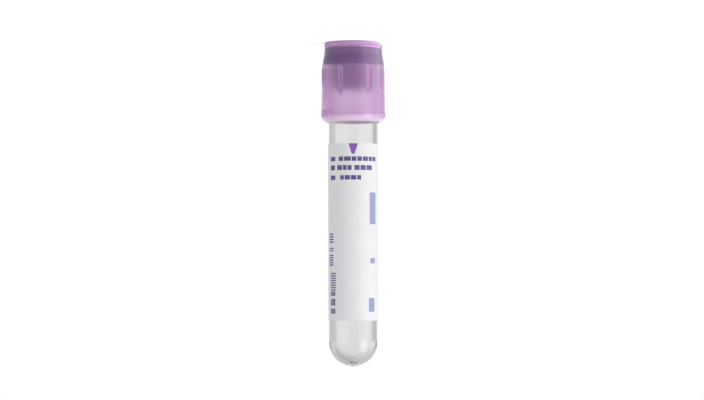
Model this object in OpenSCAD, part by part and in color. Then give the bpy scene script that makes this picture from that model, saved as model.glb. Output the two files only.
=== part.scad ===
// Evacuated blood collection tube, standing on its closure.
// A clear round-bottomed tube carries a wrapped paper label. A rubber stopper plugs its mouth,
// and a translucent cover grips the stopper's flange and hangs down round the neck as a skirt.
// Each piece is drawn with the tube's axis on Z, its round end at the origin and its printed side
// towards -Y. stood() then turns it over, because the round end can't stand and the closure's flat
// ring can: the ring is at the bottom, the round end at the top, the printed side still towards -Y.

/* [Tube] */
// Length of the tube, from its round end to its rim
tube_length = 75; // [62:0.5:100]
// Outer diameter of the parallel neck, above the label
neck_od = 12.3; // [10:0.1:16]
// Wall of the neck
neck_wall = 0.95; // [0.75:0.05:1.5]
// How much smaller the round end's radius is than the neck's, from the mould's draft
draft = 0.15; // [0.05:0.01:0.4]
// Height above the label at which the drafted wall ends and the parallel neck begins
neck_rise = 0.3; // [0:0.1:1]
// Depth below the plug at which the parallel bore begins
bore_drop = 1; // [0.2:0.1:3]
// Wall beside the round end
base_wall = 1.1; // [0.8:0.05:1.8]
// Thickness at the very bottom of the round end
base_floor = 1.8; // [1.2:0.05:2.4]
// Rounding of the rim's two edges
rim_round = 0.25; // [0.1:0.05:0.35]
// Outer diameter of the ring-shaped recess round the mould's gate, at the pole of the round end
gate_d = 2.4; // [1.8:0.1:3]
// Diameter of the gate's button inside that recess
button_d = 1.2; // [0.6:0.1:1.4]
// Depth of the recess below the pole
gate_depth = 0.3; // [0.2:0.05:0.5]

/* [Label] */
// Height of the label's lower edge above the round end
label_start = 11.4; // [8:0.1:20]
// Bare tube left between the label and the cover's skirt
label_clear = 5.3; // [2:0.1:12]
// How far the label wraps round the tube, in degrees
label_wrap = 300; // [200:5:340]
// Thickness of the label
label_t = 0.1; // [0.08:0.01:0.15]
// Radius of the label's corners
label_corner = 1.6; // [0.8:0.1:2.5]

/* [Stopper] */
// Length of the plug in the tube's mouth
plug_length = 5.9; // [4.5:0.1:9]
// Height of the plug's coned lead-in
plug_lead = 0.8; // [0.4:0.1:1.5]
// How far the flange stands out past the tube's neck
flange_out = 0.45; // [0.4:0.05:0.9]
// Thickness of the flange that seats on the rim
flange_t = 2.1; // [1.6:0.1:3]
// Rounding of the flange's edges
flange_round = 0.25; // [0.1:0.05:0.4]
// Width of the flange's step up to the head
head_step = 0.9; // [0.6:0.1:1.4]
// Height of the head above the flange
head_t = 2.4; // [1.8:0.1:3.5]
// Rounding of the head's edge
head_round = 0.4; // [0.2:0.05:0.5]
// Diameter of the needle well in the head
well_d = 7.2; // [5:0.1:8.7]
// Depth of the needle well
well_depth = 2.2; // [1.2:0.1:2.8]
// How much smaller the well's radius is at its floor
well_taper = 0.6; // [0.2:0.1:1]
// Bevel of the well's mouth
well_bevel = 0.3; // [0.1:0.05:0.4]
// Diameter of the recess under the plug
recess_d = 6; // [4:0.1:7.5]
// Depth of the recess under the plug
recess_depth = 2.9; // [1.5:0.1:3.6]
// How much smaller the recess's radius is at its end
recess_taper = 0.5; // [0.2:0.1:1]

/* [Cover] */
// Length of the skirt below the tube's rim
skirt_length = 14.35; // [11:0.1:20]
// Wall of the grip, the parallel part of the skirt
grip_wall = 1.125; // [0.9:0.025:1.6]
// Wall of the band round the stopper's head
band_wall = 1.45; // [1.1:0.05:1.9]
// Thickness of the ring over the stopper's head
ring_t = 1.25; // [0.9:0.05:2]
// Rounding of the ring's outer edge
ring_round = 0.55; // [0.3:0.05:0.7]
// Diameter of the needle port through the ring
port_d = 9; // [8.8:0.1:10]
// Bevel of the port's outer edge
port_bevel = 0.35; // [0.2:0.05:0.5]
// Length of the flare from the band out to the grip
flare_length = 5.8; // [4:0.1:7]
// Height of the flare's upper end above the tube's rim
flare_rise = 4.4; // [3.8:0.1:4.6]
// Length of the parallel grip under the flare
grip_length = 4.4; // [2:0.1:6]
// How far the skirt widens from the grip down to the lip
skirt_flare = 0.2; // [0.05:0.01:0.3]
// How far the lip's bead stands out past the skirt
lip_bead = 0.06; // [0.02:0.01:0.15]
// Radius of the rolled lip
lip_round = 2.2; // [1.6:0.1:2.6]
// Height of the coned lead-in to the skirt's mouth
mouth_lead = 0.6; // [0.3:0.1:1]
// Height of the mouth's parallel land
mouth_land = 0.6; // [0.3:0.1:1]
// Height of the slope from the land out to the skirt's inner wall
mouth_slope = 1; // [0.4:0.1:1.5]
// How far the wider chamber round the stopper's flange reaches below the tube's rim
chamber_drop = 0.4; // [0.1:0.05:1]
// Number of ribs inside the skirt
rib_count = 6; // [4:1:8]
// Length of a rib, down from the stopper's flange
rib_length = 7.2; // [4:0.1:8]
// Width of a rib
rib_w = 1; // [0.6:0.1:1.4]
// Height of a rib above the skirt's inner wall
rib_h = 0.4; // [0.3:0.05:0.45]
// Height of the slope at a rib's lower end
rib_lead = 1.2; // [0.6:0.1:2]
// How deep a rib's root is set into the skirt's wall
rib_root = 0.2; // [0.1:0.05:0.4]
// Turn of the first rib from the printed side, in degrees
rib_turn = 33; // [0:1:90]

/* [Fits] */
// Radial clearance of the plug in the bore
plug_gap = 0.04; // [0.02:0.01:0.1]
// Clearance of the cover round the stopper's flange and head
cover_gap = 0.06; // [0.03:0.01:0.1]
// Gap between the rim and the flange that seats on it
seat_gap = 0.04; // [0.02:0.01:0.1]
// Radial clearance of the ribs round the neck
rib_gap = 0.2; // [0.15:0.05:0.3]
// Radial clearance of the skirt's mouth round the neck
mouth_gap = 0.25; // [0.2:0.05:0.35]
// Gap between the label and the tube
label_gap = 0.02; // [0.01:0.01:0.05]

/* [Hidden] */
$fn = 128;
// How far a cutting shape runs past the face that it cuts, and a short overlap within one piece
over = 1;
lap = 0.1;

// Heights are measured along the axis from the round end.
skirt_end = tube_length - skirt_length;
label_end = skirt_end - label_clear;
neck_start = label_end + neck_rise;
plug_start = tube_length + seat_gap - plug_length;
bore_start = plug_start - bore_drop;
seat_s = tube_length + seat_gap;
shoulder_s = seat_s + flange_t;
head_end = shoulder_s + head_t;
well_floor = head_end - well_depth;
ring_start = head_end + cover_gap;
top_s = ring_start + ring_t;
flare_top = tube_length + flare_rise;
flare_mid = flare_top - flare_length / 2;
flare_low = flare_top - flare_length;
grip_low = flare_low - grip_length;
lip_s = skirt_end + lip_round;
land_start = skirt_end + mouth_lead;
land_end = land_start + mouth_land;
slope_end = land_end + mouth_slope;
chamber_start = tube_length - chamber_drop;
rib_end = seat_s - cover_gap;
rib_start = rib_end - rib_length;

// Radii of the tube
neck_r = neck_od / 2;
bore_r = neck_r - neck_wall;
base_r = neck_r - draft;
inner_r = base_r - base_wall;
inner_s = base_floor + inner_r;

// Radii of the stopper
plug_r = bore_r - plug_gap;
flange_r = neck_r + flange_out;
head_r = flange_r - head_step;
well_r = well_d / 2;
recess_r = recess_d / 2;

// Radii of the cover
rib_r = neck_r + rib_gap;
mouth_r = neck_r + mouth_gap;
skirt_r = rib_r + rib_h;
root_r = skirt_r + rib_root;
chamber_r = flange_r + cover_gap;
hood_r = head_r + cover_gap;
port_r = port_d / 2;
grip_r = skirt_r + grip_wall;
band_r = hood_r + band_wall;
hem_r = grip_r + skirt_flare;
lip_r = hem_r + lip_bead - lip_round;
flare_h = grip_r - band_r;
flare_r = (flare_length * flare_length + flare_h * flare_h) / (4 * flare_h);

// Radius of the tube's drafted wall at a height s, between the round end and the neck.
function wall_r(s) = base_r + (neck_r - base_r) * (s - base_r) / (neck_start - base_r);

// Turns an upright piece over onto the cover's ring.
module stood() {
    translate([0, 0, top_s])
        rotate([0, 180, 0])
            children();
}

// Section of a round-ended cone: a half ball of radius r centred at height s, a drafted wall from
// its rim to radius wide_r at height wide_s, then a parallel stretch up to end_s.
module round_ended_section(r, s, wide_r, wide_s, end_s) {
    intersection() {
        translate([0, s])
            circle(r = r);
        translate([0, s - r])
            square(r);
    }
    polygon([[0, s], [r, s], [wide_r, wide_s], [wide_r, end_s], [0, end_s]]);
}

// What rounds an outer corner at (x, y): the corner's square less a quarter circle. side is [1, 1]
// for a corner at the upper right, [1, -1] at the lower right, [-1, 1] at the upper left.
module corner_waste(x, y, r, side) {
    translate([x, y])
        scale([side[0], side[1]])
            difference() {
                translate([-r, -r])
                    square(r + lap);
                translate([-r, -r])
                    circle(r = r);
            }
}

// Clear moulded tube: round outside and in at its end, with the gate's mark at the pole, drafted
// walls, and a parallel neck and bore.
module tube() {
    color([0.86, 0.88, 0.9, 0.4])
        stood()
            rotate_extrude()
                difference() {
                    round_ended_section(base_r, base_r, neck_r, neck_start, tube_length);
                    round_ended_section(inner_r, inner_s, bore_r, bore_start, tube_length + over);
                    corner_waste(neck_r, tube_length, rim_round, [1, 1]);
                    corner_waste(bore_r, tube_length, rim_round, [-1, 1]);
                    translate([button_d / 2, -over])
                        square([(gate_d - button_d) / 2, over + gate_depth]);
                }
}

// Waste that rounds one corner of the label. It is a prism along the radius, set where the
// rounding's centre lies. The centre stands a little nearer the edges than the radius, so the arc
// crosses both edges cleanly.
module label_corner_waste(side, s, up) {
    mean_r = wall_r(s) + label_gap + label_t / 2;
    inset = 0.96 * label_corner;
    turn = label_wrap / 2 - asin(inset / mean_r);
    rotate([0, 0, side * turn])
        translate([0, -mean_r, s - up * inset])
            rotate([90, 0, 0])
                linear_extrude(height = 2 * over, center = true)
                    scale([side, up])
                        difference() {
                            square(label_corner + over);
                            circle(r = label_corner);
                        }
}

// Paper label: a thin sheet that follows the drafted wall and leaves a clear strip at the back.
module label() {
    low_r = wall_r(label_start) + label_gap;
    high_r = wall_r(label_end) + label_gap;
    color([0.95, 0.95, 0.96])
        stood()
            difference() {
                rotate([0, 0, -90 - label_wrap / 2])
                    rotate_extrude(angle = label_wrap)
                        polygon([
                            [low_r, label_start],
                            [low_r + label_t, label_start],
                            [high_r + label_t, label_end],
                            [high_r, label_end]
                        ]);
                for (side = [-1, 1]) {
                    label_corner_waste(side, label_start, -1);
                    label_corner_waste(side, label_end, 1);
                }
            }
}

// Rubber stopper: plug with a coned lead-in and a recess below, flange on the rim, and a head with
// a needle well.
module stopper() {
    color([0.42, 0.33, 0.5])
        stood()
            rotate_extrude()
                difference() {
                    polygon([
                        [0, plug_start],
                        [plug_r - plug_lead / 2, plug_start],
                        [plug_r, plug_start + plug_lead],
                        [plug_r, seat_s],
                        [flange_r, seat_s],
                        [flange_r, shoulder_s],
                        [head_r, shoulder_s],
                        [head_r, head_end],
                        [0, head_end]
                    ]);
                    corner_waste(flange_r, seat_s, flange_round, [1, -1]);
                    corner_waste(flange_r, shoulder_s, flange_round, [1, 1]);
                    corner_waste(head_r, head_end, head_round, [1, 1]);
                    polygon([
                        [0, well_floor],
                        [well_r - well_taper, well_floor],
                        [well_r, head_end - well_bevel],
                        [well_r + well_bevel, head_end],
                        [well_r + well_bevel, head_end + over],
                        [0, head_end + over]
                    ]);
                    polygon([
                        [0, plug_start - over],
                        [recess_r, plug_start - over],
                        [recess_r, plug_start],
                        [recess_r - recess_taper, plug_start + recess_depth],
                        [0, plug_start + recess_depth]
                    ]);
                }
}

// Outer section of the cover: ring, band, flare, parallel grip, widening skirt and rolled lip. The
// flare is two equal arcs. The hollow one reaches arc_lap into the other, so that they cross cleanly.
module cover_outline() {
    arc_lap = 0.002;
    difference() {
        union() {
            translate([0, flare_top])
                square([band_r, top_s - flare_top]);
            translate([0, flare_mid])
                square([grip_r, flare_length / 2]);
            intersection() {
                translate([grip_r - flare_r, flare_low])
                    circle(r = flare_r);
                translate([0, flare_low])
                    square([grip_r, flare_length / 2]);
            }
        }
        translate([band_r + flare_r - arc_lap, flare_top])
            circle(r = flare_r);
        corner_waste(band_r, top_s, ring_round, [1, 1]);
    }
    polygon([[0, lip_s], [hem_r, lip_s], [grip_r, grip_low], [grip_r, flare_low], [0, flare_low]]);
    translate([lip_r, lip_s])
        circle(r = lip_round);
}

// Space inside the cover: port, hood over the stopper's head, chamber round its flange, and the
// bore of the skirt with its closer mouth.
module cover_space() {
    mouth_bevel = mouth_lead / 2;
    translate([0, ring_start - lap])
        square([port_r, ring_t + over]);
    polygon([
        [0, top_s - port_bevel],
        [port_r, top_s - port_bevel],
        [port_r + port_bevel + lap, top_s + lap],
        [0, top_s + lap]
    ]);
    translate([0, shoulder_s])
        square([hood_r, ring_start - shoulder_s]);
    translate([0, chamber_start - lap])
        square([chamber_r, shoulder_s + cover_gap - chamber_start + lap]);
    polygon([
        [0, skirt_end - over],
        [mouth_r + mouth_bevel, skirt_end - over],
        [mouth_r + mouth_bevel, skirt_end],
        [mouth_r, land_start],
        [mouth_r, land_end],
        [skirt_r, slope_end],
        [skirt_r, chamber_start],
        [0, chamber_start]
    ]);
}

// Ribs inside the skirt, beside the plug. They guide the neck, and their ends carry the stopper's
// flange. Each has its root in the skirt's wall.
module cover_ribs() {
    intersection() {
        rotate_extrude()
            polygon([
                [root_r, rib_start],
                [rib_r, rib_start + rib_lead],
                [rib_r, rib_end],
                [root_r, rib_end]
            ]);
        for (k = [0 : rib_count - 1])
            rotate([0, 0, rib_turn - 90 + k * 360 / rib_count])
                translate([neck_r / 2, -rib_w / 2, rib_start - over])
                    cube([neck_r, rib_w, rib_end - rib_start + 2 * over]);
    }
}

// Translucent cover: one moulding.
module cover() {
    color([0.8, 0.66, 0.82, 0.75])
        stood() {
            rotate_extrude()
                difference() {
                    intersection() {
                        cover_outline();
                        translate([0, skirt_end - over])
                            square([grip_r * 2, top_s - skirt_end + 2 * over]);
                    }
                    cover_space();
                }
            cover_ribs();
        }
}

tube();
label();
stopper();
cover();
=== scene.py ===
"""Looks of an evacuated blood collection tube that stands on its closure.

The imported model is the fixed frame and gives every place. A height s is in millimetres along the
axis from the tube's round end, and lies at (overall height - s) above the floor.
"""

import logging
import math
from dataclasses import dataclass, field
from enum import Enum
from functools import reduce
from typing import NamedTuple, Sequence

import bpy
import numpy as np
from mathutils import Matrix, Vector


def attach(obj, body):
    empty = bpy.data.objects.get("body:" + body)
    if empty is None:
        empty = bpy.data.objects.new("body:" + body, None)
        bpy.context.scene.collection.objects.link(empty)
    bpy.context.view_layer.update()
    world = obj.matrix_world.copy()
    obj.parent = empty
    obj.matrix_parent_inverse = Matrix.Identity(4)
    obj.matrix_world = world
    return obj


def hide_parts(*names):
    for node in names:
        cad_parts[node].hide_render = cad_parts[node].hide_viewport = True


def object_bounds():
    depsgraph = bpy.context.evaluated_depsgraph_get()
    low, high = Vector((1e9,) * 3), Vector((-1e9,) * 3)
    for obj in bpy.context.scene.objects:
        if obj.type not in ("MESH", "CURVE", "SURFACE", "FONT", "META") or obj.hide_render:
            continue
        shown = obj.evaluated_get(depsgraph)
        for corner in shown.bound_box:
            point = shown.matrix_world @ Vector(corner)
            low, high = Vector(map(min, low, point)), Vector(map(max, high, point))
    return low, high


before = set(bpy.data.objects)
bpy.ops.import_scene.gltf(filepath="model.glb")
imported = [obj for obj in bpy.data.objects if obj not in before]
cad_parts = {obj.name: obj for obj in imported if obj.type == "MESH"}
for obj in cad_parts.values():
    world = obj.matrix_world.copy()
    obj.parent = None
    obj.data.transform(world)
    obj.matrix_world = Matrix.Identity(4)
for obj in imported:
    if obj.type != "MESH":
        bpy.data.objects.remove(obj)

CAD_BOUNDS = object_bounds()
MM = 0.001
OVERALL = (CAD_BOUNDS[1][2] - CAD_BOUNDS[0][2]) / MM
WHITE = (1.0, 1.0, 1.0, 1.0)
FILLET_STEPS = 6  # chords in a rounded corner
PRINTED_SIDE = -90.0  # degrees round the axis, from +X
CREASE_FROM = 35.0  # degrees between two faces whose edge stays sharp in the shading

log = logging.getLogger("blood_tube")

Array = np.ndarray
Triple = tuple[float, float, float]
Colour = Triple
Span = tuple[float, float]
Material = bpy.types.Material
Node = bpy.types.Node
Socket = bpy.types.NodeSocket
Value = Socket | float
Factor = Value | tuple[Socket, Span]


class Body(Enum):
    """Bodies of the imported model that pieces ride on."""

    TUBE = "tube"
    STOPPER = "stopper"
    COVER = "cover"


class Slot(Enum):
    """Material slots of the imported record."""

    CLEAR = "clear_plastic"
    PAPER = "label_paper"
    RUBBER = "stopper_rubber"
    COVER = "cover_plastic"


# Outlines: arrays of (radius, height s) pairs in millimetres


def arc(centre: Span, radius: float, start: float, end: float, steps: int) -> Array:
    """Points on a circle: centre plus radius times the cosine and sine of evenly spaced angles.

    Args:
        centre: Centre of the circle as (r, s).
        radius: Radius of the circle.
        start: First angle in degrees, from the +r direction towards +s.
        end: Last angle in degrees.
        steps: Number of chords.

    Returns:
        Array of steps + 1 points.
    """
    turn = np.radians(np.linspace(start, end, steps + 1))
    return np.array(centre) + radius * np.column_stack([np.cos(turn), np.sin(turn)])


def fillet(before: Array, tip: Array, after: Array, rounding: float) -> Array:
    """Rounds one corner with the arc that touches both of its edges.

    The arc starts and ends at radius / tan(half the corner's angle) from the corner. Its centre
    lies on the corner's bisector at radius / sin(half the angle).

    Args:
        before: The outline's point before the corner.
        tip: The corner itself.
        after: The outline's point after the corner.
        rounding: The arc's radius.

    Returns:
        The arc's points, or the corner alone where it isn't rounded.
    """
    if rounding <= 0:
        return tip[None, :]
    back, on = before - tip, after - tip
    back, on = back / np.linalg.norm(back), on / np.linalg.norm(on)
    half = math.acos(float(np.clip(back @ on, -1, 1))) / 2
    middle = back + on
    centre = tip + middle / np.linalg.norm(middle) * rounding / math.sin(half)
    first = tip + back * rounding / math.tan(half) - centre
    last = tip + on * rounding / math.tan(half) - centre
    span = math.acos(float(np.clip(first @ last / rounding**2, -1, 1)))
    share = np.linspace(0, 1, FILLET_STEPS + 1)[:, None]
    swung = np.sin((1 - share) * span) * first + np.sin(share * span) * last
    return centre + swung / math.sin(span)


def rounded(*corners: tuple[float, ...]) -> Array:
    """Joins corners into an open outline: each is (r, s), or (r, s, radius that rounds it)."""
    tips = np.array([corner[:2] for corner in corners])
    runs = [fillet(*tips[i : i + 3], *(c[2:] or (0.0,))) for i, c in enumerate(corners[1:-1])]
    return np.vstack([tips[:1], *runs, tips[-1:]])


def divided(outline: Array, longest: float, closed: bool = False) -> Array:
    """Divides an outline's chords evenly so that none is over a length.

    Args:
        outline: Points (r, s) in order.
        longest: The length.
        closed: Whether the last point joins the first.

    Returns:
        The divided outline.
    """
    ends = np.roll(outline, -1, axis=0) if closed else outline[1:]
    starts = outline if closed else outline[:-1]
    parts = np.maximum(1, np.ceil(np.linalg.norm(ends - starts, axis=1) / longest)).astype(int)
    index = np.repeat(np.arange(len(starts)), parts)
    step = np.arange(parts.sum()) - np.repeat(np.cumsum(parts) - parts, parts)
    share = (step / parts[index])[:, None]
    points = starts[index] * (1 - share) + ends[index] * share
    return points if closed else np.vstack([points, outline[-1:]])


# Surfaces


@dataclass
class Surface:
    """A mesh as arrays: points in millimetres with heights s, and faces as rows of indices."""

    points: Array
    faces: list[Array]
    marks: dict[str, Array] = field(default_factory=dict)

    def placed(self) -> Array:
        """The points in metres in the model's frame: sideways and heights are turned over."""
        x, y, z = self.points.T
        return np.column_stack([-x, y, OVERALL - z]) * MM

    def triangles(self) -> Array:
        """The faces as triangles, by fans."""
        fans = [
            np.stack([f[:, np.zeros(f.shape[1] - 2, int)], f[:, 1:-1], f[:, 2:]], axis=2).reshape(-1, 3)
            for f in self.faces
        ]
        return np.vstack(fans)

    def facing_out(self) -> list[Array]:
        """The faces, turned round if the closed surface's volume comes out negative."""
        place, corners = self.placed(), self.triangles()
        a, b, c = (place[corners[:, k]] for k in range(3))
        volume = float(np.einsum("ij,ij->", a, np.cross(b, c))) / 6
        return [f[:, ::-1] for f in self.faces] if volume < 0 else self.faces


def joined(surfaces: Sequence[Surface]) -> Surface:
    """Puts several surfaces into one mesh, each still a shell of its own."""
    starts = np.cumsum([0] + [len(s.points) for s in surfaces[:-1]])
    faces = [f + start for s, start in zip(surfaces, starts) for f in s.faces]
    return Surface(np.vstack([s.points for s in surfaces]), faces)


def grid_faces(rows: int, columns: int, round_rows: bool, round_columns: bool) -> Array:
    """Quads over a grid of points that are numbered row by row.

    Args:
        rows: Number of rows.
        columns: Number of points in a row.
        round_rows: Whether the last row joins the first.
        round_columns: Whether each row's end joins its start.

    Returns:
        Rows of four indices.
    """
    i = np.arange(rows if round_rows else rows - 1)[:, None]
    j = np.arange(columns if round_columns else columns - 1)[None, :]
    below, right = (i + 1) % rows, (j + 1) % columns
    corners = [i * columns + j, i * columns + right, below * columns + right, below * columns + j]
    return np.stack(np.broadcast_arrays(*corners), axis=-1).reshape(-1, 4)


def revolved(outline: Array, sectors: int, closed: bool, offset: Array | None = None) -> Surface:
    """Carries an outline round the axis: each point goes to (r cos a, r sin a, s) for every angle a.

    An outline that starts and ends on the axis gets one pole point at each end, with a fan of
    triangles round it. A closed outline gives a ring.

    Args:
        outline: Points (r, s) in order.
        sectors: Number of angles.
        closed: Whether the outline's end joins its start.
        offset: What is added to each radius, as an array of outline points by sectors.

    Returns:
        The closed surface.
    """
    angle = np.arange(sectors) * 2 * np.pi / sectors
    body = outline if closed else outline[1:-1]
    radius = np.repeat(body[:, :1], sectors, axis=1)
    if offset is not None:
        radius = radius + offset
    height = np.repeat(body[:, 1:], sectors, axis=1)
    points = np.stack([radius * np.cos(angle), radius * np.sin(angle), height], axis=-1).reshape(-1, 3)
    faces = [grid_faces(len(body), sectors, closed, True)]
    if closed:
        return Surface(points, faces)
    poles = np.array([[0, 0, outline[0, 1]], [0, 0, outline[-1, 1]]])
    j = np.arange(sectors)
    k = (j + 1) % sectors
    last = (len(body) - 1) * sectors
    fans = ((len(points), k, j), (len(points) + 1, last + j, last + k))
    faces += [np.column_stack([np.full(sectors, pole), a, b]) for pole, a, b in fans]
    return Surface(np.vstack([points, poles]), faces)


def sheet_surface(angle: Array, height: Array, inner: Array, thickness: float) -> Surface:
    """A curved sheet: a grid of points at an inner radius and the same grid a thickness further out.

    Args:
        angle: Angle of each grid point from the printed side, in radians, towards the print's right.
        height: Height s of each grid point.
        inner: Inner radius at each grid point.
        thickness: Thickness of the sheet.

    Returns:
        The closed surface, with its rim stitched round.
    """
    rows, columns = angle.shape
    layers = [
        np.stack([radius * np.sin(angle), -radius * np.cos(angle), height], axis=-1).reshape(-1, 3)
        for radius in (inner, inner + thickness)
    ]
    count = rows * columns
    quads = grid_faces(rows, columns, False, False)
    index = np.arange(count).reshape(rows, columns)
    rim = np.concatenate([index[0], index[1:, -1], index[-1, -2::-1], index[-2:0:-1, 0]])
    after = np.roll(rim, -1)
    walls = np.column_stack([rim, rim + count, after + count, after])
    return Surface(np.vstack(layers), [quads, quads[:, ::-1] + count, walls])


def in_scene(name: str, data: bpy.types.ID) -> bpy.types.Object:
    """Adds an object to the scene."""
    thing = bpy.data.objects.new(name, data)
    bpy.context.scene.collection.objects.link(thing)
    return thing


def make_piece(
    name: str, surface: Surface, body: Body, material: Material
) -> bpy.types.Object:
    """Makes a piece of the object from a surface and lets it ride on a body.

    Args:
        name: Name of the piece.
        surface: Its surface.
        body: The body that it rides on.
        material: Its material.

    Returns:
        The piece, whose place is in its mesh.
    """
    mesh = bpy.data.meshes.new(name)
    faces = [face for run in surface.facing_out() for face in run.tolist()]
    mesh.from_pydata(surface.placed().tolist(), [], faces)
    for mark, values in surface.marks.items():
        layer = mesh.attributes.new(mark, "FLOAT", "POINT")
        layer.data.foreach_set("value", values.astype(np.float32))
    mesh.validate()
    mesh.shade_smooth()
    mesh.set_sharp_from_angle(angle=math.radians(CREASE_FROM))
    mesh.materials.append(material)
    piece = in_scene(name, mesh)
    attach(piece, body.value)
    log.info("%s: %d vertices, %d faces, rides on %s", name, len(mesh.vertices), len(faces), body.value)
    return piece


# Finishes


class Grain(NamedTuple):
    """A noise: its features per metre, its octaves, and the scale along X, Y and Z before it."""

    scale: float
    detail: float
    stretch: Triple = (1.0, 1.0, 1.0)


class Rays(NamedTuple):
    """Sockets that are 1 for one kind of ray and 0 for all others.

    Through is for both gloss and glass, and mirrored for gloss alone.
    """

    camera: Socket
    glossy: Socket
    through: Socket
    mirrored: Socket


class Nodes:
    """The node tree of a material or a world, with short calls to add nodes and links."""

    noise_middle: Span = (0.3, 0.7)
    mix_colours: tuple[int, int] = (6, 7)
    mix_result: int = 2

    def __init__(self, owner: Material | bpy.types.World) -> None:
        """Empties the owner's node tree and gives it an output."""
        self.owner = owner
        owner.use_nodes = True
        self.tree = owner.node_tree
        self.tree.nodes.clear()
        self.output = self.add("Output" + owner.bl_rna.identifier)

    @classmethod
    def of_material(cls, name: str) -> "Nodes":
        """The empty node tree of a new material."""
        return cls(bpy.data.materials.new(name))

    def add(self, kind: str, **settings: object) -> Node:
        """Adds a node.

        Args:
            kind: Blender's name of the node's type, after ShaderNode.
            **settings: Properties of the node, or what its inputs get by name, with _ for a space:
                a socket to link or a value.

        Returns:
            The node.
        """
        node = self.tree.nodes.new("ShaderNode" + kind)
        for key, value in settings.items():
            if hasattr(node, key):
                setattr(node, key, value)
            else:
                self.give(node.inputs[key.replace("_", " ")], value)
        return node

    def give(self, target: Socket, value: object) -> None:
        """Links an input to a socket, or sets it to a value."""
        if isinstance(value, Socket):
            self.tree.links.new(value, target)
        else:
            target.default_value = value

    def noise(self, grain: Grain) -> Socket:
        """The value of a noise on the piece's own coordinates."""
        place = self.add("TexCoord").outputs["Object"]
        place = self.add("Mapping", Vector=place, Scale=grain.stretch).outputs["Vector"]
        node = self.add("TexNoise", Vector=place, Scale=grain.scale, Detail=grain.detail)
        return node.outputs["Fac"]

    def mapped(self, value: Socket, source: Span, result: Span, kind: str) -> Socket:
        """Maps one span of a value to another.

        Args:
            value: The value.
            source: The span's ends.
            result: What the ends become.
            kind: Blender's name for the way between them.

        Returns:
            The mapped value.
        """
        node = self.add("MapRange", interpolation_type=kind, Value=value)
        for name, number in zip(("From Min", "From Max", "To Min", "To Max"), (*source, *result)):
            node.inputs[name].default_value = number
        return node.outputs["Result"]

    def spread(self, value: Socket, low: float, high: float) -> Socket:
        """Maps the middle of a noise's range to a low and a high value."""
        return self.mapped(value, self.noise_middle, (low, high), "LINEAR")

    def ramp(self, value: Socket, span: Span) -> Socket:
        """Rises smoothly from 0 to 1 as a value goes from the span's start to its end."""
        return self.mapped(value, span, (0.0, 1.0), "SMOOTHSTEP")

    def blend(self, value: Socket, low: Colour, high: Colour) -> Socket:
        """Blends two colours by a value from 0 to 1."""
        node = self.add("Mix", data_type="RGBA")
        self.give(node.inputs[0], value)
        for place, colour in zip(self.mix_colours, (low, high)):
            self.give(node.inputs[place], (*colour, 1))
        return node.outputs[self.mix_result]

    def bump(self, height: Socket, distance: float) -> Socket:
        """A bump of a height in metres from a value."""
        node = self.add("Bump", Strength=1.0, Distance=distance, Height=height)
        return node.outputs["Normal"]

    def maths(self, operation: str, *values: Factor) -> Socket:
        """Carries a step of arithmetic through several values.

        Args:
            operation: Blender's name for the step.
            *values: Sockets and numbers. A socket with a span is its ramp over the span.

        Returns:
            The outcome.
        """

        def step(first: Value, second: Value) -> Socket:
            """The step on two of them."""
            node = self.add("Math", operation=operation)
            for place, value in zip(node.inputs, (first, second)):
                self.give(place, value)
            return node.outputs[0]

        return reduce(step, [self.ramp(*v) if isinstance(v, tuple) else v for v in values])

    def product(self, *values: Factor) -> Socket:
        """The product of several sockets, ramps or numbers."""
        return self.maths("MULTIPLY", *values)

    def total(self, *values: Factor) -> Socket:
        """The sum of several."""
        return self.maths("ADD", *values)

    def most(self, *values: Factor) -> Socket:
        """The greatest of several."""
        return self.maths("MAXIMUM", *values)

    def without(self, value: Value) -> Socket:
        """One less a value."""
        return self.maths("SUBTRACT", 1.0, value)

    def parts(self, vector: Socket) -> Sequence[Socket]:
        """The X, Y and Z of a vector."""
        return tuple(self.add("SeparateXYZ", Vector=vector).outputs)

    def rays(self) -> Rays:
        """What kind of ray meets the surface."""
        path = self.add("LightPath")
        kinds = ("Camera", "Glossy", "Transmission")
        camera, glossy, glass = (path.outputs[f"Is {kind} Ray"] for kind in kinds)
        return Rays(camera, glossy, self.most(glossy, glass), self.product(glossy, self.without(glass)))

    def mark(self, name: str) -> Socket:
        """The value of one of the piece's own marks, from 0 to 1."""
        return self.add("Attribute", attribute_name=name).outputs["Fac"]

    def mixed(self, share: Socket, first: Node, second: Node) -> Node:
        """Mixes two shaders: the first where the share is 0 and the second where it is 1."""
        mix = self.add("MixShader")
        for place, source in zip(mix.inputs, (share, first.outputs[0], second.outputs[0])):
            self.give(place, source)
        return mix

    def show(self, shader: Node) -> None:
        """Sends a shader to the output."""
        self.give(self.output.inputs["Surface"], shader.outputs[0])

    def lit_through(self, shader: Node, tint: Colour) -> None:
        """Sends a shader to the output, and lets lamps light what is behind it with a tint."""
        clear = self.add("BsdfTransparent", Color=(*tint, 1))
        path = self.add("LightPath")
        self.show(self.mixed(path.outputs["Is Shadow Ray"], shader, clear))

    def absorbs(self, colour: Colour, density: float) -> None:
        """Absorbs light inside: what a metre takes up is the density times one less the colour."""
        inside = self.add("VolumeAbsorption", Color=(*colour, 1), Density=density)
        self.give(self.output.inputs["Volume"], inside.outputs[0])


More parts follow.
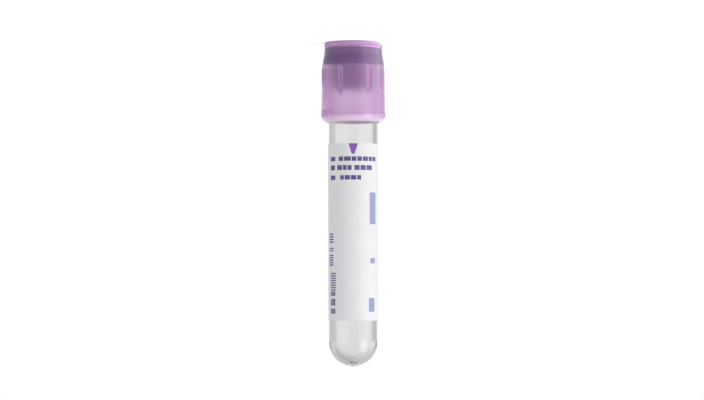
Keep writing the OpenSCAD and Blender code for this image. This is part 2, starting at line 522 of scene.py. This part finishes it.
@dataclass(frozen=True)
class ClearPlastic:
    """Clear moulded polyester: bends light, and greys it over a long way."""

    ior: float = 1.5
    roughness: Span = (0.015, 0.05)
    haze: Grain = Grain(260, 4, (1, 1, 0.35))
    flow: Grain = Grain(420, 2, (1, 1, 0.12))
    flow_depth: float = 0.000004
    grey: Colour = (0.80, 0.80, 0.79)
    density: float = 620.0
    shadow: Colour = (1.0, 1.0, 1.0)

    def material(self) -> Material:
        """The material, which lets lamps through and absorbs light inside."""
        nodes = Nodes.of_material("clear_plastic")
        shader = nodes.add(
            "BsdfPrincipled",
            Base_Color=WHITE,
            IOR=self.ior,
            Transmission_Weight=1.0,
            Roughness=nodes.spread(nodes.noise(self.haze), *self.roughness),
            Normal=nodes.bump(nodes.noise(self.flow), self.flow_depth),
        )
        nodes.lit_through(shader, self.shadow)
        nodes.absorbs(self.grey, self.density)
        return nodes.owner


@dataclass(frozen=True)
class CoverPlastic:
    """Translucent lavender moulding: clear plastic with milk in it, satin outside and matt inside.

    The piece's own marks say how milky each place is and which surface is the inner one. As the
    milk gets thicker its colour pales, and light spreads sideways in it.
    """

    ior: float = 1.5
    roughness: Span = (0.13, 0.18)
    inside_more: float = 0.25
    satin: Grain = Grain(900, 4)
    skin: Grain = Grain(2600, 3)
    skin_depth: float = 0.000003
    deep: Colour = (0.82, 0.1, 0.92)
    density: float = 150.0
    milk: Colour = (0.83, 0.53, 0.86)
    milk_thick: Colour = (0.92, 0.70, 0.96)
    pales: Span = (0.1, 0.7)
    cloud: Grain = Grain(240, 3)
    cloud_swing: float = 0.04
    spreads: Span = (0.4, 0.8)
    spread_reach: Triple = (1.0, 0.8, 1.0)
    spread_scale: float = 0.002
    shadow: Colour = (0.9, 0.78, 0.91)

    def material(self) -> Material:
        """The material, which lets lamps reach what it covers."""
        nodes = Nodes.of_material("cover_plastic")
        milk = nodes.mark("milk")
        cloud = nodes.spread(nodes.noise(self.cloud), -self.cloud_swing, self.cloud_swing)
        thick = nodes.total(nodes.ramp(milk, self.pales), cloud)
        satin = nodes.spread(nodes.noise(self.satin), *self.roughness)
        skin = {
            "IOR": self.ior,
            "Roughness": nodes.total(satin, nodes.product(nodes.mark("inside"), self.inside_more)),
            "Normal": nodes.bump(nodes.noise(self.skin), self.skin_depth),
        }
        clear = nodes.add("BsdfPrincipled", Base_Color=WHITE, Transmission_Weight=1.0, **skin)
        milky = nodes.add(
            "BsdfPrincipled",
            Base_Color=nodes.blend(thick, self.milk, self.milk_thick),
            Subsurface_Weight=nodes.ramp(milk, self.spreads),
            Subsurface_Radius=self.spread_reach,
            Subsurface_Scale=self.spread_scale,
            **skin,
        )
        nodes.lit_through(nodes.mixed(milk, clear, milky), self.shadow)
        nodes.absorbs(self.deep, self.density)
        return nodes.owner


@dataclass(frozen=True)
class Solid:
    """An opaque finish with two close colours, clouded, and a fine bump.

    A sheer one lets that share of a lamp's light reach what is behind it.
    """

    name: str
    light: Colour
    dark: Colour
    roughness: Span
    cloud: Grain
    grain: Grain
    depth: float
    sheer: float = 0.0

    def material(self) -> Material:
        """The material."""
        nodes = Nodes.of_material(self.name)
        cloud, grain = nodes.spread(nodes.noise(self.cloud), 0.0, 1.0), nodes.noise(self.grain)
        shader = nodes.add(
            "BsdfPrincipled",
            Base_Color=nodes.blend(cloud, self.dark, self.light),
            Roughness=nodes.spread(grain, *self.roughness),
            Normal=nodes.bump(grain, self.depth),
        )
        if self.sheer > 0:
            nodes.lit_through(shader, (self.sheer,) * 3)
        else:
            nodes.show(shader)
        return nodes.owner


def ink(name: str, light: Colour, dark: Colour) -> Solid:
    """A printing ink in two close colours."""
    return Solid(name, light, dark, (0.4, 0.55), Grain(900, 4), Grain(5200, 5), 0.000003)


RUBBER = Solid(
    name="stopper_rubber",
    light=(0.13, 0.045, 0.215),
    dark=(0.11, 0.037, 0.185),
    roughness=(0.5, 0.7),
    cloud=Grain(500, 4),
    grain=Grain(3000, 5),
    depth=0.000015,
)
PAPER = Solid(
    name="label_paper",
    light=(0.87, 0.87, 0.885),
    dark=(0.84, 0.84, 0.86),
    roughness=(0.42, 0.55),
    cloud=Grain(350, 4),
    grain=Grain(5200, 5),
    depth=0.000004,
    sheer=0.8,
)
INK_DARK = ink("ink_navy", (0.125, 0.10, 0.30), (0.085, 0.065, 0.22))
INK_BLUE = ink("ink_blue", (0.38, 0.40, 0.61), (0.30, 0.32, 0.52))
INK_VIOLET = ink("ink_violet", (0.28, 0.11, 0.50), (0.22, 0.08, 0.42))
INK_PALE = ink("ink_lavender", (0.60, 0.56, 0.74), (0.55, 0.50, 0.70))


# Sub-assemblies: sizes in millimetres, with heights s


@dataclass
class ClearTube:
    """The clear round-ended tube, open at its rim."""

    length: float = 75.0
    neck_r: float = 6.15
    neck_wall: float = 0.95
    draft: float = 0.15
    base_wall: float = 1.1
    base_floor: float = 1.8
    neck_start: float = 55.65
    bore_start: float = 68.14
    rim_round: float = 0.25
    gate_r: float = 1.2
    gate_depth: float = 0.3
    gate_round: float = 0.08
    button_r: float = 0.6
    button_s: float = 0.02
    ball_steps: int = 40
    longest: float = 4.0
    sectors: int = 256
    finish: ClearPlastic = ClearPlastic()

    @property
    def base_r(self) -> float:
        """Radius of the round end."""
        return self.neck_r - self.draft

    def wall_r(self, s: Array) -> Array:
        """Outer radius at a height s: even draft from the round end's rim up to the neck."""
        share = np.clip((s - self.base_r) / (self.neck_start - self.base_r), 0, 1)
        return self.base_r + (self.neck_r - self.base_r) * share

    def gate_mark(self) -> Array:
        """Outline of the gate's button and the recess round it, from the pole to the ball."""
        ball_s = self.base_r - math.sqrt(self.base_r**2 - self.gate_r**2)
        return rounded(
            (0, self.button_s),
            (self.button_r, self.button_s, self.gate_round),
            (self.button_r, self.gate_depth, self.gate_round),
            (self.gate_r, self.gate_depth, self.gate_round),
            (self.gate_r, ball_s),
        )

    def outline(self) -> Array:
        """Outline of the wall: gate, ball, drafted wall, rim, bore and inner ball, pole to pole."""
        bore_r, inner_r = self.neck_r - self.neck_wall, self.base_r - self.base_wall
        inner_s = self.base_floor + inner_r
        start = -math.degrees(math.acos(self.gate_r / self.base_r))
        ball = arc((0, self.base_r), self.base_r, start, 0, self.ball_steps)
        rim = rounded(
            (self.neck_r, self.neck_start),
            (self.neck_r, self.length, self.rim_round),
            (bore_r, self.length, self.rim_round),
            (bore_r, self.bore_start),
        )
        hollow = arc((0, inner_s), inner_r, 0, -90, self.ball_steps)
        return divided(np.vstack([self.gate_mark()[:-1], ball, rim, hollow]), self.longest)

    def build(self) -> None:
        """Makes the tube's wall and dresses it."""
        wall = revolved(self.outline(), self.sectors, False)
        piece = make_piece("tube_wall", wall, Body.TUBE, self.finish.material())
        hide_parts("tube")


@dataclass
class Stopper:
    """The rubber stopper: plug with a seal band, flange, head and needle well."""

    start: float = 69.14
    seal: float = 74.3
    seat: float = 75.04
    shoulder: float = 77.21
    end: float = 79.61
    plug_r: float = 5.16
    seal_r: float = 5.195
    flange_r: float = 6.67
    head_r: float = 5.77
    lead: float = 0.8
    lead_round: float = 0.6
    seal_rise: float = 0.1
    seal_round: float = 0.1
    head_round: float = 0.4
    well_r: float = 3.6
    well_flare: float = 0.15
    well_floor_r: float = 3.0
    well_depth: float = 2.2
    well_round: float = 0.4
    recess_r: float = 3.0
    recess_floor_r: float = 2.5
    recess_depth: float = 2.9
    recess_round: float = 0.5
    edge_round: float = 0.3
    longest: float = 2.0
    sectors: int = 192
    finish: Solid = RUBBER

    def outline(self) -> Array:
        """Outline from the recess's pole round the plug, flange and head to the well's pole."""
        recess_s, well_s = self.start + self.recess_depth, self.end - self.well_depth
        return divided(rounded(
            (0, recess_s),
            (self.recess_floor_r, recess_s, self.recess_round),
            (self.recess_r, self.start, self.edge_round),
            (self.plug_r - self.lead / 2, self.start, self.edge_round),
            (self.plug_r, self.start + self.lead, self.lead_round),
            (self.plug_r, self.seal - self.seal_rise, self.seal_round),
            (self.seal_r, self.seal, self.seal_round),
            (self.seal_r, self.seat),
            (self.flange_r, self.seat, self.seal_round),
            (self.flange_r, self.shoulder),
            (self.head_r, self.shoulder),
            (self.head_r, self.end, self.head_round),
            (self.well_r + self.well_flare, self.end, self.edge_round),
            (self.well_floor_r, well_s, self.well_round),
            (0, well_s),
        ), self.longest)

    def build(self) -> None:
        """Makes the stopper and dresses it."""
        solid = revolved(self.outline(), self.sectors, False)
        piece = make_piece("stopper_moulding", solid, Body.STOPPER, self.finish.material())
        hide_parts("stopper")


@dataclass
class Cover:
    """The translucent cover: ring, band, flare, grip, skirt, rolled lip and inner ribs.

    The milk's shares go with its heights, from the lip up to the ring.
    """

    top: float = 80.85
    ring_start: float = 79.6
    port_r: float = 4.5
    port_bevel: float = 0.35
    bevel_round: float = 0.12
    band_r: float = 7.21
    ring_round: float = 0.55
    flare_top: float = 79.4
    flare_length: float = 5.8
    flare_steps: int = 12
    grip_r: float = 7.875
    grip_low: float = 69.2
    hem_r: float = 8.075
    lip_s: float = 62.85
    lip_r: float = 5.935
    lip_round: float = 2.2
    lip_steps: int = 28
    skirt_end: float = 60.65
    skirt_r: float = 6.75
    mouth_r: float = 6.4
    mouth_lead: float = 0.6
    mouth_bevel: float = 0.24
    mouth_land: float = 0.6
    mouth_cone: float = 1.0
    mouth_round: float = 0.2
    land_round: float = 0.3
    cone_round: float = 0.6
    chamber_start: float = 74.6
    chamber_r: float = 6.66
    chamber_end: float = 77.2
    hood_r: float = 5.76
    edge_round: float = 0.03
    hood_round: float = 0.3
    rib_count: int = 6
    rib_w: float = 1.0
    rib_h: float = 0.4
    rib_side: float = 0.5
    rib_lead: float = 1.2
    rib_start: float = 67.78
    rib_end: float = 74.98
    rib_turn: float = 33.0
    milk_heights: tuple[float, ...] = (61.2, 62.8, 66.0, 73.6, 75.2, 77.1, 77.4, 79.3, 79.9)
    milk_shares: tuple[float, ...] = (0.85, 0.2, 0.12, 0.12, 0.08, 0.06, 0.15, 0.15, 0.5)
    milk_ribs: float = 0.38
    wall_margin: float = 0.005
    inner_margin: float = 0.01
    longest: float = 0.9
    sectors: int = 360
    finish: CoverPlastic = CoverPlastic()

    def flare(self) -> Array:
        """The flare from the band down to the grip: two equal arcs that meet halfway."""
        rise = self.grip_r - self.band_r
        radius = (self.flare_length**2 + rise**2) / (4 * rise)
        turn = math.degrees(math.asin(self.flare_length / 2 / radius))
        low = self.flare_top - self.flare_length
        hollow = arc((self.band_r + radius, self.flare_top), radius, 180, 180 + turn, self.flare_steps)
        full = arc((self.grip_r - radius, low), radius, turn, 0, self.flare_steps)
        return np.vstack([hollow, full[1:]])

    def lip(self) -> Array:
        """The rolled lip: the circle from where it leaves the skirt's cone down to the mouth's bevel."""
        lean = math.atan2(self.hem_r - self.grip_r, self.grip_low - self.lip_s)
        reach = (self.hem_r - self.lip_r) * math.cos(lean)
        start = lean + math.acos(min(1.0, reach / self.lip_round))
        end = -math.acos((self.mouth_r + self.mouth_bevel - self.lip_r) / self.lip_round)
        centre = (self.lip_r, self.lip_s)
        return arc(centre, self.lip_round, math.degrees(start), math.degrees(end), self.lip_steps)

    def outline(self) -> Array:
        """The closed outline, from the port's bevel round the outside and back up the inside.

        The mouth's bevel rises twice as much as it opens.
        """
        ring = rounded(
            (self.port_r, self.ring_start),
            (self.port_r, self.top - self.port_bevel, self.bevel_round),
            (self.port_r + self.port_bevel, self.top, self.bevel_round),
            (self.band_r, self.top, self.ring_round),
            (self.band_r, self.flare_top),
        )
        land_start = self.skirt_end + self.mouth_lead
        land_end = land_start + self.mouth_land
        inside = rounded(
            (self.mouth_r + self.mouth_bevel, land_start - 2 * self.mouth_bevel),
            (self.mouth_r, land_start, self.mouth_round),
            (self.mouth_r, land_end, self.land_round),
            (self.skirt_r, land_end + self.mouth_cone, self.cone_round),
            (self.skirt_r, self.chamber_start, self.edge_round),
            (self.chamber_r, self.chamber_start, self.edge_round),
            (self.chamber_r, self.chamber_end, self.edge_round),
            (self.hood_r, self.chamber_end, self.edge_round),
            (self.hood_r, self.ring_start, self.hood_round),
            (self.port_r, self.ring_start),
        )
        whole = np.vstack([ring[1:-1], self.flare(), self.lip(), inside[1:]])
        return divided(whole, self.longest, True)

    def rib_offsets(self, outline: Array) -> Array:
        """How far the ribs stand in from the skirt's inner wall.

        Across, a rib's sides fall away smoothly over a share of half its width. Along, it rises
        over its lead and stops under the flange.

        Args:
            outline: The closed outline.

        Returns:
            What they add to the radius, as an array of outline points by sectors.
        """
        r, s = outline[:, 0], outline[:, 1]
        on_wall = np.abs(r - self.skirt_r) < self.wall_margin
        on_rib = on_wall & (s > self.rib_start) & (s <= self.rib_end)
        along = np.clip((s - self.rib_start) / self.rib_lead, 0, 1) * on_rib
        angle = np.arange(self.sectors) * 360 / self.sectors - PRINTED_SIDE
        pitch = 360 / self.rib_count
        away = np.abs((angle - self.rib_turn + pitch / 2) % pitch - pitch / 2)
        half = math.degrees(self.rib_w / 2 / self.skirt_r)
        across = np.clip((half * (1 + self.rib_side / 2) - away) / (half * self.rib_side), 0, 1)
        across = across * across * (3 - 2 * across)
        return -self.rib_h * along[:, None] * across[None, :]

    def milkiness(self, outline: Array, ribs: Array) -> Array:
        """How milky each point is: by the wall's thickness at its height, and more on the ribs."""
        share = np.interp(outline[:, 1], self.milk_heights, self.milk_shares)[:, None]
        return share + (self.milk_ribs - share) * (-ribs / self.rib_h)

    def build(self) -> None:
        """Makes the cover and dresses it."""
        outline = self.outline()
        ribs = self.rib_offsets(outline)
        solid = revolved(outline, self.sectors, True, ribs)
        r, s = outline[:, 0], outline[:, 1]
        inner = (r < self.skirt_r + self.inner_margin) & (s < self.ring_start - self.inner_margin)
        solid.marks["milk"] = self.milkiness(outline, ribs).ravel()
        solid.marks["inside"] = np.repeat(inner.astype(float), self.sectors)
        piece = make_piece("cover_moulding", solid, Body.COVER, self.finish.material())
        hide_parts("cover")


class Mark(NamedTuple):
    """A printed mark on the unrolled label, which may be narrower at its low end."""

    across: Span
    along: Span
    low_share: float = 1.0


@dataclass
class Label:
    """The wrapped paper label and its generic print.

    Marks lie across from the printed side's middle, towards the print's right, and along in s.
    """

    tube: ClearTube
    low: float = 11.4
    high: float = 55.35
    wrap: float = 300.0
    gap: float = 0.02
    thickness: float = 0.1
    corner: float = 1.6
    corner_steps: int = 12
    columns: int = 180
    rows: int = 45
    ink_thickness: float = 0.012
    ink_sunk: float = 0.004
    mark_chord: float = 0.25
    mark_columns: int = 4
    mark_rows: int = 7
    bar_inset: float = 0.11
    tick_pitch: float = 0.62
    tick_share: float = 0.55
    finish: Solid = PAPER

    def sheet(self) -> Surface:
        """The sheet: columns round the wall, whose ends draw in by a quarter circle at the corners."""
        mean = float(self.tube.wall_r(np.array(self.high))) + self.gap
        half = math.radians(self.wrap / 2)
        turn = np.linspace(0, np.pi / 2, self.corner_steps + 1)
        edge = self.corner / mean * (1 - np.cos(turn))
        middle = np.linspace(-half + edge[-1], half - edge[-1], self.columns)[1:-1]
        across = np.concatenate([-half + edge, middle, (half - edge)[::-1]])
        reach = np.clip(self.corner - (half - np.abs(across)) * mean, 0, self.corner)
        drawn_in = self.corner - np.sqrt(self.corner**2 - reach**2)
        along = np.linspace(0, 1, self.rows)[:, None]
        height = (self.low + drawn_in) * (1 - along) + (self.high - drawn_in) * along
        angle = np.repeat(across[None, :], len(along), axis=0)
        return sheet_surface(angle, height, self.tube.wall_r(height) + self.gap, self.thickness)

    def patch(self, mark: Mark) -> Surface:
        """A printed patch just over the sheet."""
        (left, right), (low, high) = mark.across, mark.along
        columns = max(self.mark_columns, int((right - left) / self.mark_chord))
        along = np.linspace(0, 1, self.mark_rows)[:, None]
        middle, half = (left + right) / 2, (right - left) / 2
        across = np.linspace(-1, 1, columns)[None, :]
        width = half * (mark.low_share + (1 - mark.low_share) * along)
        height = np.repeat(low + (high - low) * along, columns, axis=1)
        radius = self.tube.wall_r(height) + self.gap + self.thickness
        angle = (middle + across * width) / radius
        return sheet_surface(angle, height, radius - self.ink_sunk, self.ink_thickness)

    def words(self, across: Span, along: Span, *gaps: float) -> list[Mark]:
        """Splits a printed line into plain bars.

        Args:
            across: The line's ends.
            along: Its heights.
            *gaps: Where the bars part, as shares of its length.

        Returns:
            The bars.
        """
        left, right = across
        cuts = [left + (right - left) * share for share in (0.0, *gaps, 1.0)]
        bars = zip(cuts[:-1], cuts[1:])
        return [Mark((start + self.bar_inset, end - self.bar_inset), along) for start, end in bars]

    def ticks(self, across: Span, along: Span) -> list[Mark]:
        """Fills a column of small print with even ticks across it."""
        low, high = along
        count = round((high - low) / self.tick_pitch)
        starts, step = np.linspace(low, high, count, endpoint=False, retstep=True)
        return [Mark(across, (start, start + step * self.tick_share)) for start in starts.tolist()]

    def text_lines(self) -> list[Mark]:
        """Three lines of bars near the neck, each with a short block before it."""
        block = (-6.85, -4.95)
        first, second, third = (50.95, 52.05), (48.7, 49.9), (46.3, 47.4)
        return [
            Mark(block, first),
            *self.words((-3.95, 6.85), first, 0.14, 0.32, 0.45, 0.58, 0.74, 0.86),
            Mark((-6.8, -5.1), second),
            *self.words((-4.4, -0.3), second, 0.4, 0.7),
            *self.words((0.2, 5.3), second, 0.3, 0.62),
            Mark(block, third),
            *self.words((-3.5, 2.1), third, 0.22, 0.5, 0.78),
        ]

    def side_columns(self) -> list[Mark]:
        """Small print and pairs of blocks down the print's left side."""
        outer, inner, blocks = (-7.7, -5.7), (-6.9, -4.8), (-6.9, -4.9)
        return [
            *self.ticks(outer, (30.7, 33.3)),
            *self.ticks(outer, (28.6, 29.7)),
            *self.ticks(outer, (25.0, 28.0)),
            *self.ticks(inner, (18.8, 23.5)),
            *self.words(blocks, (17.5, 18.6), 0.5),
            *self.words(blocks, (15.1, 16.8), 0.5),
            *self.words(blocks, (13.1, 14.4), 0.5),
        ]

    def print_marks(self) -> dict[str, tuple[Solid, list[Mark]]]:
        """The generic print by ink: lines and columns, blocks, the fill arrow and a border."""
        blocks = [
            Mark((4.45, 6.8), (35.3, 43.2)),
            Mark((4.7, 6.5), (25.6, 26.9)),
            Mark((4.2, 6.3), (13.6, 17.0)),
        ]
        arrow = Mark((-1.15, 1.15), (52.7, 55.3), 0.32)
        border = (-9.9, -9.1)
        return {
            "label_print_dark": (INK_DARK, self.text_lines() + self.side_columns()),
            "label_print_blue": (INK_BLUE, blocks),
            "label_print_arrow": (INK_VIOLET, [arrow]),
            "label_print_border": (INK_PALE, [Mark(border, (44.0, 54.0)), Mark(border, (15.0, 43.0))]),
        }

    def build(self) -> None:
        """Makes the label and its print and dresses them."""
        piece = make_piece("label_sheet", self.sheet(), Body.TUBE, self.finish.material())
        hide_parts("label")
        for name, (colour, marks) in self.print_marks().items():
            patches = joined([self.patch(mark) for mark in marks])
            make_piece(name, patches, Body.TUBE, colour.material())


# Stage: sizes in metres. +X is the print's left, +Y is behind the object


@dataclass(frozen=True)
class Cards:
    """Darker cards round the object, painted into what gloss and glass see: painted dark reflections,
    which the object's lighting doesn't see.

    A wide one is painted behind to the print's left and a narrow one behind to the right. Both end
    near the round end's height. A painted ceiling is over the left, and the camera's place is painted
    dark.
    Each span says between which parts of a direction of length one something fades in.
    """

    behind: Span = (0.05, 0.3)
    left: Span = (0.15, 0.42)
    left_top: Span = (0.35, 0.15)
    left_dark: float = 0.24
    right_start: Span = (-0.1, -0.75)
    right_end: Span = (-0.95, -0.85)
    right_top: Span = (0.3, 0.1)
    right_dark: float = 0.45
    ceiling_low: Span = (0.3, 0.6)
    ceiling_high: Span = (0.98, 0.88)
    ceiling_side: Span = (-0.35, 0.15)
    ceiling_dark: float = 0.25
    front: Span = (-0.8, -0.97)
    front_dark: float = 0.45

    def shown(self, nodes: Nodes, direction: Socket) -> Socket:
        """How bright the surroundings are.

        Args:
            nodes: The tree to build in.
            direction: The direction looked in.

        Returns:
            The brightness, from 0 to 1.
        """
        across, along, up = nodes.parts(direction)
        behind = nodes.ramp(along, self.behind)
        left = nodes.product((across, self.left), behind, (up, self.left_top), self.left_dark)
        slit = nodes.product((across, self.right_start), (across, self.right_end), behind)
        right = nodes.product(slit, (up, self.right_top), self.right_dark)
        height = nodes.product((up, self.ceiling_low), (up, self.ceiling_high))
        ceiling = nodes.product(height, (across, self.ceiling_side), self.ceiling_dark)
        front = nodes.product((along, self.front), self.front_dark)
        # painted dark reflections: one less the darkest painted card
        return nodes.without(nodes.most(left, right, ceiling, front))


@dataclass(frozen=True)
class Studio:
    """An even pale world, which the camera sees white.

    Gloss and glass see the painted cards in it. Gloss also sees a bright box at the print's right and a
    bright field over the camera, which light nothing: painted highlights, seen only as reflections.
    """

    light: float = 0.70
    box: Span = (-0.75, -0.9)
    box_low: Span = (-0.55, -0.3)
    box_high: Span = (0.55, 0.3)
    box_light: float = 1.5
    field_front: Span = (0.1, -0.2)
    field_low: Span = (0.35, 0.6)
    field_light: float = 0.9

    def build(self, cards: Cards) -> None:
        """Makes the world, with the cards in it."""
        world = bpy.data.worlds.new("studio")
        bpy.context.scene.world = world
        nodes = Nodes(world)
        direction = nodes.add("TexCoord").outputs["Generated"]
        across, along, up = nodes.parts(direction)
        rays = nodes.rays()
        # painted highlights: a bright box and a bright field that only gloss sees and that light nothing
        box = nodes.product((across, self.box), (up, self.box_low), (up, self.box_high), rays.mirrored)
        over = nodes.product((along, self.field_front), (up, self.field_low), rays.glossy)
        box, over = nodes.product(box, self.box_light), nodes.product(over, self.field_light)
        # painted reflections: gloss and glass see the painted cards, box and field; the camera and
        # diffuse light don't
        seen = nodes.product(rays.through, nodes.total(cards.shown(nodes, direction), box, over))
        even = nodes.product(nodes.without(nodes.most(rays.camera, rays.through)), self.light)
        strength = nodes.most(nodes.total(even, seen), rays.camera)
        nodes.show(nodes.add("Background", Color=WHITE, Strength=strength))


class Ground(NamedTuple):
    """The floor's tree, what kinds of ray meet it, and what a place on it is known by.

    Away is its distance from the axis, and ahead the direction to it, whose X and Y are across
    and along. Depth is its own Y.
    """

    nodes: Nodes
    rays: Rays
    away: Socket
    ahead: Socket
    across: Socket
    along: Socket
    depth: Socket

    @classmethod
    def of(cls, nodes: Nodes) -> "Ground":
        """The sockets of a tree, from the floor's own coordinates."""
        place = nodes.add("TexCoord").outputs["Object"]
        away = nodes.add("VectorMath", operation="LENGTH", Vector=place).outputs["Value"]
        ahead = nodes.add("VectorMath", operation="NORMALIZE", Vector=place).outputs["Vector"]
        return cls(nodes, nodes.rays(), away, ahead, *nodes.parts(ahead)[:2], nodes.parts(place)[1])


@dataclass(frozen=True)
class Floor:
    """A white floor under the ring, which keeps the object's shadow, and whose glow stops under the ring
    as a painted shadow.

    Gloss and glass see painted dark cards, painted shade round the object and painted light in it. Each
    span says between which distances, or parts of a direction, something fades in.
    """

    half: float = 3.0
    white: float = 0.82
    near: Span = (0.085, 0.06)
    # painted dark card at the left, between these distances, seen by gloss and glass
    card_start: Span = (0.055, 0.08)
    card_end: Span = (0.15, 0.11)
    card_beside: Span = (-0.45, -0.2)
    # painted shadow under the ring: the camera sees no glow there
    shade: Span = (0.0056, 0.0073)
    shade_glow: float = 0.5
    # painted shade round the object and in front of it, as gloss and glass see the glow
    dim: Span = (0.0056, 0.028)
    dim_front: Span = (-0.07, -0.012)
    dim_glow: float = 0.38
    # painted pool of light further off, seen by gloss and glass
    pool_start: Span = (0.1, 0.17)
    pool_end: Span = (0.31, 0.24)
    pool_glow: float = 0.4
    # painted bright box at the print's right: a painted reflection that only gloss sees
    box: Span = (-0.15, -0.9)
    box_front: Span = (0.5, 0.1)
    box_far: float = 0.25
    box_light: float = 2.3

    def darkness(self, ground: Ground, cards: Cards) -> Socket:
        """How dark gloss and glass see the floor, as painted shade: the painted cards far off, and a
        nearer painted one at the left.
        """
        nodes, rays = ground.nodes, ground.rays
        cards_dark = nodes.without(cards.shown(nodes, ground.ahead))
        far = nodes.product(cards_dark, (ground.away, self.near[::-1]))
        beside = nodes.product(rays.mirrored, (ground.along, self.card_beside))
        behind = nodes.most((ground.along, cards.behind), beside)
        band = nodes.product((ground.away, self.card_start), (ground.away, self.card_end))
        return nodes.most(far, nodes.product((ground.across, cards.left), behind, band))

    def glow(self, ground: Ground, view: Socket) -> Socket:
        """The floor's own light, with painted shade and painted light in it.

        The camera sees it beyond a painted shadow under the ring. Gloss and glass see it fade in round
        the object, a painted shade, and in a painted pool of light further off, and gloss sees a painted
        bright box at the print's right, a painted reflection.

        Args:
            ground: The floor's tree and places.
            view: How much of it the cards leave, from 0 to 1.

        Returns:
            The light's strength.
        """
        nodes, rays, away = ground.nodes, ground.rays, ground.away
        # painted shadow: the camera sees no glow under the ring
        shown = nodes.product(rays.camera, (away, self.shade), self.shade_glow)
        # painted shade: the glow that gloss and glass see fades out near the object and in front of it
        dim = nodes.product((away, self.dim), (ground.depth, self.dim_front), self.dim_glow)
        dim = nodes.product(dim, rays.through, view)
        # painted pool of light further off, seen by gloss and glass
        pool = nodes.product((away, self.pool_start), (away, self.pool_end), self.pool_glow, rays.through)
        # painted bright box at the print's right: a painted reflection that only gloss sees, weaker far
        # off
        box = nodes.product((ground.across, self.box), (ground.along, self.box_front), rays.mirrored)
        reach = nodes.total(nodes.product((away, self.near), 1 - self.box_far), self.box_far)
        return nodes.total(shown, dim, pool, nodes.product(box, reach, self.box_light))

    def material(self, cards: Cards) -> Material:
        """The floor's finish, with the cards in it."""
        nodes = Nodes.of_material("floor_white")
        ground = Ground.of(nodes)
        # painted shade: only gloss and glass see the floor darker, where the cards are painted
        view = nodes.without(nodes.product(ground.rays.through, self.darkness(ground, cards)))
        both = nodes.add("AddShader")
        matt = nodes.add("BsdfDiffuse", Color=nodes.product(view, self.white))
        lit = nodes.add("Emission", Strength=self.glow(ground, view))
        for place, shader in zip(both.inputs, (matt, lit)):
            nodes.give(place, shader.outputs[0])
        nodes.show(both)
        return nodes.owner

    def build(self, cards: Cards) -> None:
        """Makes the floor and dresses it, with the cards in it."""
        mesh, h = bpy.data.meshes.new("floor"), self.half
        mesh.from_pydata([(-h, -h, 0), (h, -h, 0), (h, h, 0), (-h, h, 0)], [], [(0, 1, 2, 3)])
        mesh.materials.append(self.material(cards))
        floor = in_scene("floor", mesh)


@dataclass(frozen=True)
class Lamp:
    """A soft rectangular lamp that faces the object's middle."""

    place: Triple = (-0.85, -0.52, 0.505)
    size: Span = (0.62, 0.78)
    watts: float = 4.44

    def build(self) -> None:
        """Makes the lamp."""
        light = bpy.data.lights.new("key", "AREA")
        light.shape = "RECTANGLE"
        light.size, light.size_y = self.size
        light.energy = self.watts
        lamp = in_scene("key", light)
        lamp.location = self.place
        way = np.array([0, 0, OVERALL * MM / 2]) - np.array(self.place)
        lamp.rotation_euler = Vector(way).to_track_quat("-Z", "Y").to_euler()


@dataclass(frozen=True)
class View:
    """The camera, turned over as the object is, so that its picture has the closure at the top.

    Its heights s, and its side towards the print's left, are in millimetres.
    """

    eye_s: float = 12.8
    aim_s: float = 41.46
    side: float = 0.3
    distance: float = 0.75
    width: float = 0.1756
    sensor: float = 36.0
    clip: Span = (0.01, 50.0)

    def build(self) -> None:
        """Makes the camera, whose picture is the view's width across at the object."""
        data = bpy.data.cameras.new("camera")
        data.sensor_width = self.sensor
        data.lens = self.sensor * self.distance / self.width
        data.clip_start, data.clip_end = self.clip
        camera = bpy.context.scene.camera = in_scene("camera", data)
        eye = Vector((self.side * MM, -self.distance, (OVERALL - self.eye_s) * MM))
        aim = Vector((self.side * MM, 0, (OVERALL - self.aim_s) * MM))
        over = Matrix.Rotation(math.pi, 4, "Z").to_quaternion()
        camera.location = eye
        camera.rotation_mode = "QUATERNION"
        camera.rotation_quaternion = (aim - eye).to_track_quat("-Z", "Y") @ over


@dataclass
class Stage:
    """Pale floor, plain soft light and the camera."""

    cards: Cards = Cards()
    studio: Studio = Studio()
    floor: Floor = Floor()
    key: Lamp = Lamp()
    view: View = View()

    def build(self) -> None:
        """Sets the stage."""
        bpy.context.scene.view_settings.view_transform = "Standard"
        self.studio.build(self.cards)
        self.floor.build(self.cards)
        self.key.build()
        self.view.build()


def main() -> None:
    """Builds the sub-assemblies in order, then the stage."""
    logging.basicConfig(level=logging.INFO, format="%(name)s: %(message)s")
    tube = ClearTube()
    tube.build()
    Label(tube).build()
    Stopper().build()
    Cover().build()
    Stage().build()


if __name__ == "__main__":
    main()
